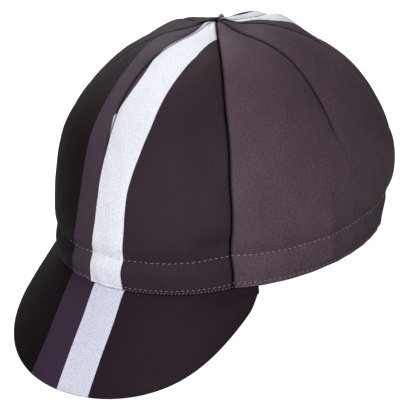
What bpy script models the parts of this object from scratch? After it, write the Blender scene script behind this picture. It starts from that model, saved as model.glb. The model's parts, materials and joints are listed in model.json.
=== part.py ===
"""Cycling cap: four darted crown panels, a sweatband and a two-layer peak.

The cap is shaped in its own frame first: the rim lies in the plane z = 0, the peak points to -Y
and the wearer's left is +X. The empty "cap_rest" then pitches it back until it rests on the
peak's tip and the back of the rim, as it does on a table.
"""

import math
from collections import namedtuple

import bmesh
import bpy
from mathutils import Matrix, Vector

# Crown, in metres
RIM_LENGTH = 0.196
RIM_WIDTH = 0.158
CROWN_HEIGHT = 0.115
CROWN_POINT_RISE = 0.002
TIP_RADIUS = 0.0015

# Shape of the crown's outline: 2 is an ellipse, more is boxier, less is pointier
UPRIGHT_FULLNESS = 2.715
LEVEL_FULLNESS = 1.906
BULGE = 0.035
POINT_LEAN = -0.0022

# Seams and darts, as angles round the crown from its front
FRONT_SEAM_ANGLE = math.radians(51.0)
BACK_SEAM_ANGLE = math.radians(138.0)
SEAM_DEPTH = 0.0022
SEAM_SPREAD = 0.008
DART_DEPTH = 0.0035
DART_SPREAD = 0.010
DART_END_HEIGHT = 0.052
DART_RUN_OUT = 0.035
PUCKER_RADIUS = 0.012

# How far these lines turn from their plain angles as they climb, and where, as shares of the crown's height
Turn = namedtuple("Turn", "angle start run")
BACK_SEAM_TURN = Turn(math.radians(5.0), 0.43, 0.35)
SIDE_DART_TURN = Turn(math.radians(6.0), 0.52, 0.39)

# Pinches, where the band draws the seams in: each seam's depth, its height and how far it reaches
FRONT_PINCH_DEPTH = 0.0034
FRONT_PINCH_HEIGHT = 0.016
FRONT_PINCH_RISE = 0.016
BACK_PINCH_DEPTH = 0.0034
BACK_PINCH_HEIGHT = 0.004
BACK_PINCH_RISE = 0.012
PINCH_SPREAD = 0.018

# Fullness of the cloth between the seams. It starts lower at the back than at the front
PUFF = 0.002
PUFF_START_FRONT = 0.045
PUFF_START_BACK = 0.005
PUFF_RUN = 0.035
RING_PUFF = 0.0009
RING_RADIUS = 0.038
RING_SPREAD = 0.012

# Where the worn cloth has settled, on both sides of the crown. Place and spread are heights, and these and
# the depth, which is inward, are shares of the crown's height
Settle = namedtuple("Settle", "angle place angle_spread spread depth")
SIDE_SETTLES = (
    Settle(math.radians(45), 0.26, math.radians(20), 0.12, 0.005),
    Settle(math.radians(45), 0.59, math.radians(25), 0.14, -0.008),
    Settle(math.radians(122), 0.33, math.radians(24), 0.19, -0.0225),
    Settle(math.radians(128), 0.035, math.radians(24), 0.105, 0.0155),
)

# The same near the crown's point, where place and spread are radii, as shares of half the rim's width
TOP_SETTLES = (
    Settle(math.radians(99), 0.38, math.radians(15), 0.115, -0.019),
    Settle(math.radians(134), 0.37, math.radians(22), 0.19, 0.024),
    Settle(math.radians(160), 0.785, math.radians(14), 0.18, 0.012),
    Settle(math.radians(172), 0.53, math.radians(14), 0.125, -0.021),
)

# Band of doubled cloth round the rim, drawn in along its upper row of stitches
BAND_HEIGHT = 0.0175
CINCH_DEPTH = 0.0016
CINCH_SPREAD = 0.0045

# Peak
PEAK_DEPTH = 0.0568
PEAK_END_DEPTH = 0.0095
PEAK_HALF_ANGLE = math.radians(59.4)
PEAK_MIDDLE_DROP = math.radians(55.1)
PEAK_END_DROP = math.radians(48.7)
PEAK_DROOP = math.radians(3.6)
PEAK_SPLAY = 1.01
PEAK_END_TURN = -0.81
PEAK_SHOULDER = 2.09
PEAK_CORNER = 1.39

# Share of the peak's depth over which its root leaves the drawn-in rim for the plain one
PEAK_ROOT_FADE = 0.3

# Cloth
CROWN_CLOTH = 0.0014
BAND_CLOTH = 0.0016
PEAK_CLOTH = 0.0012
PIECE_GAP = 0.0003
BAND_SET_UP = 0.001

# How far the cloth is pressed flat where the cap rests
REST_PRESS = 0.0008

# Mesh resolution
PANEL_COLUMNS = 18
BAND_ROWS = 4
CROWN_ROWS = 13
PEAK_COLUMNS = 30
PEAK_ROWS = 8

# Colour, roughness and metallic value of each cloth
CHARCOAL = ((0.062, 0.047, 0.057), 0.85, 0.0)
BAND_GREY = ((0.045, 0.035, 0.042), 0.9, 0.0)


def clear_scene():
    for thing in list(bpy.data.objects):
        bpy.data.objects.remove(thing, do_unlink=True)


def cloth_material(name, look):
    colour, roughness, metallic = look
    material = bpy.data.materials.new(name)
    material.use_nodes = True
    shader = material.node_tree.nodes["Principled BSDF"]
    shader.inputs["Base Color"].default_value = (*colour, 1.0)
    shader.inputs["Roughness"].default_value = roughness
    shader.inputs["Metallic"].default_value = metallic
    return material


def smooth_step(value):
    clamped = min(max(value, 0.0), 1.0)
    return clamped * clamped * (3 - 2 * clamped)


def angle_between(first, second):
    return abs((first - second + math.pi) % (2 * math.pi) - math.pi)


def dome_point(around, climb):
    """The crown without seams: around is the angle from the front, climb 0 at the rim, 1 at the point."""
    lift = math.sin(climb * math.pi / 2)
    spread = max(math.cos(climb * math.pi / 2), 0.0)
    rise = lift ** (2 / UPRIGHT_FULLNESS)
    reach = spread ** (2 / LEVEL_FULLNESS)
    reach *= 1 + BULGE * math.sin(math.pi * rise**0.7)
    point_rise = CROWN_POINT_RISE * math.exp(-4 * reach) * smooth_step(3 * rise - 1)
    return Vector(
        (
            RIM_WIDTH / 2 * reach * math.sin(around),
            -RIM_LENGTH / 2 * reach * math.cos(around) + POINT_LEAN * rise**3,
            (CROWN_HEIGHT - CROWN_POINT_RISE) * rise + point_rise,
        )
    )


def dome_normal(around, climb):
    """Outward direction of the plain dome, but level at the rim's cut edge and upright at the point."""
    step = 1e-3
    low = max(climb - step, 0.0)
    high = min(climb + step, 1.0)
    across = dome_point(around + step, min(climb, 0.99)) - dome_point(around - step, min(climb, 0.99))
    upward = dome_point(around, high) - dome_point(around, low)
    normal = across.cross(upward).normalized()
    base = dome_point(around, climb)
    level = smooth_step(axis_distance(base) / (6 * TIP_RADIUS))
    upright = smooth_step(4 * base.z / BAND_HEIGHT)
    return Vector((normal.x * level, normal.y * level, normal.z * upright)).normalized()


def axis_distance(point):
    return math.hypot(point.x, point.y - POINT_LEAN * (point.z / CROWN_HEIGHT) ** 3)


def climb_at_height(height):
    rise = height / (CROWN_HEIGHT - CROWN_POINT_RISE)
    return math.asin(rise ** (UPRIGHT_FULLNESS / 2)) * 2 / math.pi


def climb_at_radius(radius):
    """Where the dome has closed in to a small radius beside its point."""
    reach = radius / (RIM_WIDTH / 2)
    return math.acos(reach ** (LEVEL_FULLNESS / 2)) * 2 / math.pi


def turned(plain, turn, height):
    """The angle of a seam or dart at a height, once it has turned from its plain angle."""
    return plain + turn.angle * smooth_step((height / CROWN_HEIGHT - turn.start) / turn.run)


def seam_angles(height):
    """The four seams at a height, from the one at the back right round to the back left."""
    back = turned(BACK_SEAM_ANGLE, BACK_SEAM_TURN, height)
    return (-back, -FRONT_SEAM_ANGLE, FRONT_SEAM_ANGLE, back)


def pinches():
    """The pinch at each seam, in the order of the seams: its depth, height and rise."""
    front = (FRONT_PINCH_DEPTH, FRONT_PINCH_HEIGHT, FRONT_PINCH_RISE)
    back = (BACK_PINCH_DEPTH, BACK_PINCH_HEIGHT, BACK_PINCH_RISE)
    return (back, front, front, back)


def dart_angles(height):
    """The four darts at a height: right, front, left and back, each between the seams beside it."""
    side = turned((FRONT_SEAM_ANGLE + BACK_SEAM_ANGLE) / 2, SIDE_DART_TURN, height)
    return (-side, 0.0, side, math.pi)


def hump(value, centre, spread):
    """A smooth hump of height 1 round its centre."""
    return math.exp(-(((value - centre) / spread) ** 2))


def valley(away, spread, radius):
    """Cross-section of a sewn line's valley, which narrows where the lines close in on the point."""
    return math.exp(-away / min(spread, 0.28 * radius))


def puffed_height(around, base):
    """How far the loose cloth of the panels stands out from the plain dome."""
    backward = (1 - math.cos(around)) / 2
    start = PUFF_START_FRONT + (PUFF_START_BACK - PUFF_START_FRONT) * backward
    ring = RING_PUFF * hump(axis_distance(base), RING_RADIUS, RING_SPREAD)
    return PUFF * smooth_step((base.z - start) / PUFF_RUN) + ring


def settled_depth(around, share, settles):
    """How far a table of settled places draws the cloth in, at a share of the height or of the radius."""
    side = angle_between(around, 0.0)
    depth = 0.0
    for settle in settles:
        near = hump(side, settle.angle, settle.angle_spread) * hump(share, settle.place, settle.spread)
        depth += CROWN_HEIGHT * settle.depth * near
    return depth


def sunk_depth(around, base):
    """How far seams, darts and the band's stitches draw the cloth in below the plain dome."""
    radius = axis_distance(base)
    depth = CINCH_DEPTH * hump(base.z, BAND_HEIGHT, CINCH_SPREAD)
    for seam, (pinch_depth, height, rise) in zip(seam_angles(base.z), pinches()):
        away = angle_between(around, seam) * radius
        depth += SEAM_DEPTH * valley(away, SEAM_SPREAD, radius)
        depth += pinch_depth * hump(base.z, height, rise) * hump(away, 0.0, PINCH_SPREAD)
    dart_share = smooth_step((base.z - DART_END_HEIGHT) / DART_RUN_OUT)
    for dart in dart_angles(base.z):
        away = angle_between(around, dart) * radius
        depth += DART_DEPTH * dart_share * valley(away, DART_SPREAD, radius)
    depth += settled_depth(around, base.z / CROWN_HEIGHT, SIDE_SETTLES)
    depth += settled_depth(around, radius / (RIM_WIDTH / 2), TOP_SETTLES)
    near_point = smooth_step(radius / PUCKER_RADIUS)
    return near_point * (depth - puffed_height(around, base))


def crown_point(around, climb, inset):
    """A point on the sewn crown, inset below its outer face."""
    base = dome_point(around, climb)
    return base - dome_normal(around, climb) * (sunk_depth(around, base) + inset)


def wrapped_solid(columns, rows, wrap):
    """A flat grid of cloth extruded into a wall, then laid on its place by wrap(across, up, depth)."""
    mesh = bmesh.new()
    bmesh.ops.create_grid(mesh, x_segments=columns, y_segments=rows, size=0.5)
    extruded = bmesh.ops.extrude_face_region(mesh, geom=mesh.faces[:])
    inner = [item for item in extruded["geom"] if isinstance(item, bmesh.types.BMVert)]
    bmesh.ops.translate(mesh, vec=(0, 0, -1), verts=inner)
    for vertex in mesh.verts:
        vertex.co = wrap(vertex.co.x + 0.5, vertex.co.y + 0.5, -vertex.co.z)
    bmesh.ops.recalc_face_normals(mesh, faces=mesh.faces[:])
    return mesh


def gathered(share):
    """Spreads columns so that they lie closer at both edges and along the middle."""
    return share - 0.08 * math.sin(4 * math.pi * share) / 2


def panel_climb(up):
    """Rows of a panel: even ones within the band, then even ones up to the crown's point."""
    band_share = BAND_ROWS / (BAND_ROWS + CROWN_ROWS)
    band_top = climb_at_height(BAND_HEIGHT)
    if up <= band_share:
        return climb_at_height(BAND_HEIGHT * up / band_share)
    above = (up - band_share) / (1 - band_share)
    return band_top + (climb_at_radius(TIP_RADIUS) - band_top) * above


def crown_panel(place):
    """A panel by its place in the order of the seams and darts. Its middle column follows its dart."""

    def wrap(across, up, depth):
        climb = panel_climb(up)
        height = dome_point(0.0, climb).z
        seams = seam_angles(height)
        first, last = (*seams, 2 * math.pi + seams[0])[place : place + 2]
        first += PIECE_GAP / 2 / axis_distance(dome_point(first, climb))
        last -= PIECE_GAP / 2 / axis_distance(dome_point(last, climb))
        dart = dart_angles(height)[place]
        share = 2 * gathered(across)
        around = first + (dart - first) * share if share < 1 else dart + (last - dart) * (share - 1)
        return crown_point(around, climb, depth * CROWN_CLOTH)

    return wrapped_solid(PANEL_COLUMNS, BAND_ROWS + CROWN_ROWS, wrap)


def ring_angle(share):
    """Angle of a share of the way round from the back, in step with the columns of the panels."""
    first_seam, *seams = seam_angles(0.0)
    edges = (-2 * math.pi - first_seam, first_seam, *seams, 2 * math.pi + first_seam)
    panel = math.floor(4 * share + 0.5)
    within = 4 * share + 0.5 - panel
    return edges[panel] + (edges[panel + 1] - edges[panel]) * gathered(within)


def sweatband():
    """A strip inside the rim, whose ends meet at the back."""
    end_angle = math.pi - PIECE_GAP / (RIM_LENGTH - 2 * CROWN_CLOTH - 4 * BAND_CLOTH)
    row_height = BAND_HEIGHT / BAND_ROWS

    def wrap(across, up, depth):
        around = min(max(ring_angle(across), -end_angle), end_angle)
        inset = CROWN_CLOTH + PIECE_GAP + depth * BAND_CLOTH
        point = crown_point(around, climb_at_height(BAND_HEIGHT * up), inset)
        if up > 0:
            return point
        row_above = crown_point(around, climb_at_height(row_height), inset)
        return point.lerp(row_above, BAND_SET_UP / row_height)

    return wrapped_solid(4 * PANEL_COLUMNS, BAND_ROWS, wrap)


def peak_surface(around, outward):
    """The peak's upper face: around as on the rim, outward 0 at the rim and 1 at the peak's edge."""
    side = abs(around / PEAK_HALF_ANGLE)
    shoulder = max(1 - side**PEAK_SHOULDER, 0.0) ** (1 / PEAK_CORNER)
    length = PEAK_END_DEPTH + (PEAK_DEPTH - PEAK_END_DEPTH) * shoulder
    drop = PEAK_MIDDLE_DROP + (PEAK_END_DROP - PEAK_MIDDLE_DROP) * side**2
    drop += PEAK_DROOP * (outward - 1)
    heading = (PEAK_SPLAY + PEAK_END_TURN * side**2) * around
    run = outward * length * math.cos(drop)
    plain_rim = dome_point(around, 0.0)
    root = crown_point(around, 0.0, 0.0).lerp(plain_rim, smooth_step(outward / PEAK_ROOT_FADE))
    return Vector(
        (
            root.x + run * math.sin(heading),
            root.y - run * math.cos(heading),
            -PIECE_GAP - outward * length * math.sin(drop),
        )
    )


def peak_inward(around, outward):
    """Direction from the peak's upper face into its cloth. At the rim it is level."""
    step = 1e-3
    near = max(outward - step, 0.0)
    across = peak_surface(around + step, outward) - peak_surface(around - step, outward)
    along = peak_surface(around, outward + step) - peak_surface(around, near)
    inward = across.cross(along).normalized()
    if inward.z > 0:
        inward.negate()
    level = Vector((-math.sin(around), math.cos(around), 0.0))
    return level.lerp(inward, smooth_step(outward / 0.15)).normalized()


def peak_layer(upper_inset):
    def wrap(across, up, depth):
        around = PEAK_HALF_ANGLE * (2 * across - 1)
        inset = upper_inset + depth * PEAK_CLOTH
        return peak_surface(around, up) + peak_inward(around, up) * inset

    return wrapped_solid(PEAK_COLUMNS, PEAK_ROWS, wrap)


def cap_meshes():
    """Every piece of the cap by name, in the cap's own frame."""
    return {
        "right_panel": crown_panel(0),
        "front_panel": crown_panel(1),
        "left_panel": crown_panel(2),
        "back_panel": crown_panel(3),
        "sweatband": sweatband(),
        "peak_top": peak_layer(0.0),
        "peak_underside": peak_layer(PEAK_CLOTH + PIECE_GAP),
    }


def resting_place(meshes):
    """The placing that stands the cap on its peak's tip and the back of its rim, centred on the origin."""
    peak_thickness = 2 * PEAK_CLOTH + PIECE_GAP
    tip = peak_surface(0.0, 1.0) + peak_inward(0.0, 1.0) * peak_thickness
    back = Vector((0.0, RIM_LENGTH / 2, 0.0))
    pitch = math.atan2(back.z - tip.z, back.y - tip.y)
    turn = Matrix.Rotation(-pitch, 4, "X")
    depths = [(turn @ vertex.co).y for mesh in meshes.values() for vertex in mesh.verts]
    middle = (min(depths) + max(depths)) / 2
    floor = (turn @ back).z + REST_PRESS
    return Matrix.Translation((0.0, -middle, -floor)) @ turn


def press_flat(mesh, place):
    """Flattens the cloth that would lie below the surface the cap rests on."""
    lift = place.inverted()
    for vertex in mesh.verts:
        settled = place @ vertex.co
        if settled.z < 0:
            vertex.co = lift @ Vector((settled.x, settled.y, 0.0))


def add_piece(name, mesh, look, holder):
    data = bpy.data.meshes.new(name)
    mesh.to_mesh(data)
    mesh.free()
    data.shade_smooth()
    data.set_sharp_from_angle(angle=math.radians(40))
    data.materials.append(cloth_material(name + "_cloth", look))
    piece = bpy.data.objects.new(name, data)
    piece.parent = holder
    bpy.context.scene.collection.objects.link(piece)
    return piece


def build_cap():
    clear_scene()
    meshes = cap_meshes()
    place = resting_place(meshes)
    holder = bpy.data.objects.new("cap_rest", None)
    holder.matrix_world = place
    bpy.context.scene.collection.objects.link(holder)
    for name, mesh in meshes.items():
        press_flat(mesh, place)
        look = BAND_GREY if name == "sweatband" else CHARCOAL
        add_piece(name, mesh, look, holder)


build_cap()
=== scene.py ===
"""Cloth, stitches and stage for a cycling cap, laid out as an add-on and run as a script.

The cap is shaped in its own frame: the rim lies in the plane z = 0, the peak points to -Y and the
wearer's left is +X. The placing that the frame's record gives then pitches it back onto the table.
Lengths are in metres. Shapes are worked out for whole arrays of points at once.
"""

import json
import math
from collections import namedtuple

import bmesh
import bpy
import numpy as np
from bpy.props import FloatProperty, FloatVectorProperty, PointerProperty
from mathutils import Matrix, Vector


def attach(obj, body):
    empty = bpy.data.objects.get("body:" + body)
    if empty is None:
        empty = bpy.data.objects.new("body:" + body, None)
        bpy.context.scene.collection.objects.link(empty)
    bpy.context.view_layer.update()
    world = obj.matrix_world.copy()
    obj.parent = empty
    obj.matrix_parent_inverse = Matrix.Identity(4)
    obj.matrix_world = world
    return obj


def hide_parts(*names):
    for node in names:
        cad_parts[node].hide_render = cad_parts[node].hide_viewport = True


bl_info = {
    "name": "Cycling cap",
    "version": (1, 0, 0),
    "blender": (4, 5, 0),
    "location": "3D View > Sidebar > Cap",
    "description": "Builds a cycling cap's cloth, stitches and stage around its packed frame",
    "category": "Object",
}

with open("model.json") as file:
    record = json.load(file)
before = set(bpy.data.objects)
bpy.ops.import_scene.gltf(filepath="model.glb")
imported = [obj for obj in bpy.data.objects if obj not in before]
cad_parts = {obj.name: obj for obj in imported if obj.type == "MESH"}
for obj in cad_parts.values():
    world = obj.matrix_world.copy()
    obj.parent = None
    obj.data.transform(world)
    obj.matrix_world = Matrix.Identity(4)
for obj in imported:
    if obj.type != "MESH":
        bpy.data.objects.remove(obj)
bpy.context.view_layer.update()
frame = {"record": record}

# Crown, as in the part's source
RIM_LENGTH = 0.196
RIM_WIDTH = 0.158
CROWN_HEIGHT = 0.115
CROWN_POINT_RISE = 0.002
UPRIGHT_FULLNESS = 2.715
LEVEL_FULLNESS = 1.906
BULGE = 0.035
POINT_LEAN = -0.0022
POINT_FLATNESS = 0.009
BAND_HEIGHT = 0.0175

# Seams and darts, as angles round the crown from its front
FRONT_SEAM_ANGLE = math.radians(51.0)
BACK_SEAM_ANGLE = math.radians(138.0)
SEAM_WAVER = math.radians(0.16)
SEAM_WAVER_LENGTH = 0.033
SEAM_DEPTH = 0.0022
SEAM_SPREAD = 0.008
DART_DEPTH = 0.0035
DART_SPREAD = 0.010
DART_END_HEIGHT = 0.052
DART_RUN_OUT = 0.035
PUCKER_RADIUS = 0.012
CINCH_DEPTH = 0.0016
CINCH_SPREAD = 0.0045
LOWER_ROW_HEIGHT = 0.0026
PINCH_SPREAD = 0.018

# Pinches, where the band draws the seams in
Pinch = namedtuple("Pinch", "depth height rise")
FRONT_PINCH = Pinch(0.0034, 0.016, 0.016)
BACK_PINCH = Pinch(0.0034, 0.004, 0.012)

# How far seams and darts turn from their plain angles as they climb. Where they start to turn, and over what
# run, are shares of the crown's height
Turn = namedtuple("Turn", "angle start run")
BACK_SEAM_TURN = Turn(math.radians(5.0), 0.43, 0.35)
SIDE_DART_TURN = Turn(math.radians(6.0), 0.52, 0.39)
FRONT_DART_TURN = Turn(math.radians(-11.0), 0.54, 0.39)

# Fullness of the cloth between the seams
PUFF = 0.002
PUFF_START_FRONT = 0.045
PUFF_START_BACK = 0.005
PUFF_RUN = 0.035
RING_PUFF = 0.0009
RING_RADIUS = 0.038
RING_SPREAD = 0.012

# Where the worn cloth has settled. Angles are in degrees. Place and spread are heights, and these and the
# depth, which is inward, are shares of the crown's height. The last three lie beside the front left seam
Settle = namedtuple("Settle", "angle place angle_spread spread depth")
SIDE_SETTLES = (
    Settle(40, 0.24, 6, 0.105, 0.007),
    Settle(-45, 0.26, 22, 0.12, 0.0105),
    Settle(-45, 0.59, 25, 0.14, -0.008),
    Settle(122, 0.33, 24, 0.19, -0.0225),
    Settle(128, 0.035, 24, 0.105, 0.0155),
    Settle(46, 0.215, 6, 0.045, 0.022),
    Settle(57, 0.235, 4, 0.03, -0.006),
    Settle(42, 0.62, 7, 0.12, 0.020),
)

# The same near the crown's point, where place and spread are radii, as shares of half the rim's width
TOP_SETTLES = (
    Settle(-134, 0.37, 22, 0.19, 0.024),
    Settle(-99, 0.38, 15, 0.115, -0.0235),
    Settle(-76, 0.53, 9, 0.10, 0.012),
    Settle(-172, 0.52, 14, 0.115, -0.012),
    Settle(170, 0.53, 10, 0.125, -0.021),
    Settle(160, 0.785, 14, 0.18, 0.012),
)

# Dip of the gathered cloth round the point
DIP_DEPTH = 0.0010
DIP_RADIUS = 0.014
DIP_SPREAD = 0.009

# A soft upright fold in the left side of the cloth, as its angle, height out, spread and upper end
SIDE_FOLD_ANGLE = math.radians(84.5)
SIDE_FOLD_RISE = 0.0024
SIDE_FOLD_SPREAD = 0.010
SIDE_FOLD_TOP = 0.045

# Painted shade in the seams and darts: how dark, how far from them, and the height over which it sets in
PAINTED_SEAM_SHADE = 0.93
PAINTED_SHADE_SPREAD = 0.0009
PAINTED_SHADE_RUN_OUT = 0.03

# Rows of stitches: how far the thread pulls the cloth in, and the puckers beside each row
UPPER_ROW_PULL = 0.00028
LOWER_ROW_PULL = 0.00018
ROW_PULL_SPREAD = 0.0009
ROW_PUCKER_DEPTH = 0.00022
ROW_PUCKER_SPREAD = 0.005
ROW_PUCKER_SIZE = 0.009

# Small wrinkles all over the crown, and how many waves add up to a wrinkle
BROAD_WRINKLE_DEPTH = 0.00035
BROAD_WRINKLE_SIZE = 0.042
FINE_WRINKLE_DEPTH = 0.00010
FINE_WRINKLE_SIZE = 0.013
WAVES = 7

# Cloth gathered round the crown's point, and the small tuft behind it, whose place and spread are (x, y)
GATHER_DEPTH = 0.00035
GATHER_RADIUS = 0.006
GATHER_SPREAD = 0.005
GATHER_COUNT = 13
TUFT_RISE = 0.0031
TUFT_PLACE = (-0.0006, 0.0032)
TUFT_SPREAD = (0.0022, 0.0026)

# Folded edges. A dart's fold starts above the dart's end and deepens as it climbs
SEAM_ROLL = 0.0013
DART_ROLL = 0.0018
DART_FOLD_START = 0.006
DART_FOLD_RUN = 0.02
RIM_ROLL = 0.0012
TIP_RADIUS = 0.0004

# Peak, as in the part's source
PEAK_DEPTH = 0.0568
PEAK_END_DEPTH = 0.0095
PEAK_HALF_ANGLE = math.radians(59.4)
PEAK_MIDDLE_DROP = math.radians(55.1)
PEAK_END_DROP = math.radians(48.7)
PEAK_DROOP = math.radians(3.6)
PEAK_SPLAY = 1.01
PEAK_END_TURN = -0.81
PEAK_SHOULDER = 2.09
PEAK_CORNER = 1.39
PEAK_ROOT_FADE = 0.3

# Cloth of the peak: its piped edge with a ridge and a groove beside it, soft waves and the dip at its root
PEAK_PIPING = 0.0013
PEAK_PIPING_THINNING = 0.72
PEAK_RIDGE = 0.00022
PEAK_RIDGE_PLACE = 0.0019
PEAK_GROOVE = 0.00012
PEAK_GROOVE_PLACE = 0.0009
PEAK_LINE_SPREAD = 0.0005
PEAK_WAVE = 0.00025
PEAK_WAVE_SIZE = 0.05
PEAK_ROOT_DIP = 0.0004
PEAK_ROOT_DIP_SPREAD = 0.0022
PEAK_SIDE_LENGTH = 0.08
PEAK_ROW_GATHER = 0.35

# Cloth: thicknesses, gaps, the length of a panel's map, how close a panel's columns gather, and the angle
# from which an edge is sharp
CROWN_CLOTH = 0.0014
BAND_CLOTH = 0.0016
PEAK_CLOTH = 0.0012
PIECE_GAP = 0.0003
SEAM_GAP = 0.00003
PANEL_LENGTH = 0.165
PANEL_GATHER = 0.8
SHARP_ANGLE = math.radians(55)

# Sweatband: its ribs, how far its lower edge is above the rim, and the roll and hollow of its inner face
SWEATBAND_WALE = 0.0016
SWEATBAND_LIFT = 0.0008
SWEATBAND_ROLL = 0.0016
SWEATBAND_ROLL_SHARE = 0.4
SWEATBAND_HOLLOW = 0.0003
SWEATBAND_HOLLOW_SPREAD = 0.006

# Edges of the stripes on the crown as (height, x): the purple's outer edge, the seam between the stripes,
# which goes on up from its kink in a table of its own, and the white's far edge
PURPLE_EDGE = (
    (0, -0.0200),
    (0.02, -0.0152),
    (0.036, -0.0114),
    (0.055, -0.0113),
    (0.079, -0.0148),
    (0.115, -0.0185),
)
MIDDLE_EDGE = (
    (0, -0.0038),
    (0.016, -0.0019),
    (0.028, 0.0008),
    (0.05, 0.0020),
    (0.068, -0.0002),
    (0.0835, -0.0064),
)
UPPER_MIDDLE_EDGE = (
    (0.0835, -0.0064),
    (0.088, -0.0045),
    (0.1, -0.0030),
    (0.1068, -0.0062),
    (0.112, -0.0038),
    (0.115, -0.002),
)
WHITE_EDGE = (
    (0, 0.0160),
    (0.012, 0.0168),
    (0.028, 0.0188),
    (0.053, 0.0188),
    (0.077, 0.0202),
    (0.1, 0.0168),
    (0.115, 0.0158),
)

# Within this radius of the crown's point, the white narrows by this share of the way in
NARROWING_RADIUS = 0.037
WHITE_NARROWING = 0.2

# The same on the back of the crown, as (distance behind the point, x)
BACK_PURPLE_EDGE = ((0, -0.0200), (0.045, -0.0235), (0.098, -0.0235))
BACK_MIDDLE_EDGE = ((0, 0), (0.012, -0.0040), (0.03, -0.0060), (0.098, -0.0060))
BACK_WHITE_EDGE = (
    (0, 0.0005),
    (0.011, 0.0058),
    (0.0186, 0.0080),
    (0.0303, 0.0117),
    (0.045, 0.0150),
    (0.098, 0.0160),
)

# The same edges on the peak as (share of its depth, x), with the seam between purple and white
PEAK_PURPLE_EDGE = ((0, -0.0209), (0.3, -0.0200), (0.6, -0.0195), (1, -0.0212))
PEAK_MIDDLE_EDGE = ((0, -0.0021), (0.3, -0.0006), (0.6, -0.0004), (1, -0.0003))
PEAK_WHITE_EDGE = ((0, 0.0164), (0.3, 0.0183), (0.6, 0.0187), (1, 0.0193))

# Knit: noise scales of its wavering ribs, broad patches and flecks of yarn, how far the ribs waver, and how
# much stronger the flecks show than the patches
WAVER_SCALE = 160.0
PATCH_SCALE = 55.0
FLECK_SCALE = 900.0
WAVER_REACH = 0.0005
FLECK_STRENGTH = 1.7

# Finish of the cloth and thread: their shine, the depths of their bumps, the scale of the thread's twist,
# the share of the knit's height that is in its ribs, and how sharp the stripes' edges are
CLOTH_ROUGHNESS = 0.6
CLOTH_SPECULAR = 0.06
KNIT_BUMP = 0.00012
THREAD_BUMP = 0.00004
THREAD_TWIST = 1500.0
RIB_SHARE = 0.65
STRIPE_SHARPNESS = 60.0

# How light some cloth and thread is, as shares of the main colours
SWEATBAND_SHADE = 0.75
# Painted shade: over the black cloth the thread is painted darker
THREAD_PAINTED_SHADE_ON_BLACK = 0.35
THREAD_ON_WHITE = 0.9

# Rows of stitches. Pitch, length and width are shares of the settings' measures, and lean is an angle
Row = namedtuple("Row", "height pitch length width lean")
UPPER_ROW = Row(BAND_HEIGHT, 1.0, 1.0, 1.0, 0.1)
LOWER_ROW = Row(LOWER_ROW_HEIGHT, 0.9, 0.9, 0.8, 0.1)
EDGE_ROW = Row(0.0010, 0.62, 0.6, 0.7, 1.0)

# One stitch: the faces of its bead, how far it stands out of the cloth in thread widths, how much its lean
# and length vary, and the small angle that finds its heading
STITCH_SEGMENTS = 6
STITCH_RINGS = 5
STITCH_RISE = 0.12
STITCH_LEAN_SPREAD = 0.08
STITCH_STRETCH = (0.9, 1.08)
STITCH_STEP_ANGLE = 0.004

# Mesh resolution
PANEL_COLUMNS = 136
BAND_ROWS = 44
CROWN_ROWS = 92
SWEATBAND_COLUMNS = 480
SWEATBAND_ROWS = 36
PEAK_COLUMNS = 150
PEAK_ROWS = 70

# Camera in the cap's own frame: it looks at the rim's middle from this side, and then shifts its aim
CAMERA_AZIMUTH = math.radians(42.69)
CAMERA_ELEVATION = math.radians(22.72)
CAMERA_ROLL = math.radians(-1.984)
CAMERA_AIM = (-0.01175, 0.01050)

# Every light is a soft square this wide that points at the middle of the cap
LIGHT_SIDE = 0.7
LIGHT_AIM = (0, 0, 0.06)
KEY_PLACE = (1.15, -1.05, 0.6)
HIGH_PLACE = (0.4, -0.9, 1.2)
BACK_PLACE = (-1.0, 0.8, 1.1)

# Floor: how far it lies below the table's height, its grey, the extra glow that only the camera sees, and
# the glow that it sends everywhere
FLOOR_DROP = 0.0002
FLOOR_GREY = 0.25
FLOOR_WHITENESS = 0.95
FLOOR_GLOW = 0.06


def smooth_step(value):
    clamped = np.clip(value, 0.0, 1.0)
    return clamped * clamped * (3 - 2 * clamped)


def hump(value, centre, spread):
    """A smooth hump of height 1 round its centre."""
    return np.exp(-(((value - centre) / spread) ** 2))


def curve_through(table, position):
    """A smooth curve through a short table of positions and values."""
    places, values = np.array(table, float).T
    slopes = np.gradient(values, places)
    first = np.clip(np.searchsorted(places, position) - 1, 0, len(places) - 2)
    span = places[first + 1] - places[first]
    share = np.clip((position - places[first]) / span, 0.0, 1.0)
    rest = 1 - share
    return (
        values[first] * (1 + 2 * share) * rest**2
        + slopes[first] * span * share * rest**2
        + values[first + 1] * (3 - 2 * share) * share**2
        - slopes[first + 1] * span * share**2 * rest
    )


def wander(first, second, size, seed):
    """A value that wanders smoothly between about -1 and 1, with features of this size."""
    chance = np.random.default_rng(seed)
    total = np.zeros(np.broadcast(first, second).shape)
    for _ in range(WAVES):
        heading, phase = chance.uniform(0, 2 * math.pi, 2)
        reach = size * chance.uniform(0.7, 1.5)
        along = first * math.cos(heading) + second * math.sin(heading)
        total += np.sin(along * 2 * math.pi / reach + phase)
    return total / 4


def angle_between(first, second):
    return np.abs((first - second + math.pi) % (2 * math.pi) - math.pi)


def dome(around, climb):
    """The crown without seams: around is the angle from the front, climb 0 at the rim, 1 at the point."""
    lift = np.sin(climb * math.pi / 2)
    spread = np.maximum(np.cos(climb * math.pi / 2), 0.0)
    rise = lift ** (2 / UPRIGHT_FULLNESS)
    reach = spread ** (2 / LEVEL_FULLNESS)
    reach = reach * (1 + BULGE * np.sin(math.pi * rise**0.7))
    point_rise = CROWN_POINT_RISE * np.exp(-4 * reach) * smooth_step(3 * rise - 1)
    x = RIM_WIDTH / 2 * reach * np.sin(around)
    y = -RIM_LENGTH / 2 * reach * np.cos(around) + POINT_LEAN * rise**3
    z = (CROWN_HEIGHT - CROWN_POINT_RISE) * rise + point_rise
    return np.stack(np.broadcast_arrays(x, y, z), axis=-1)


def unit(vectors):
    return vectors / np.linalg.norm(vectors, axis=-1, keepdims=True)


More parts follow.
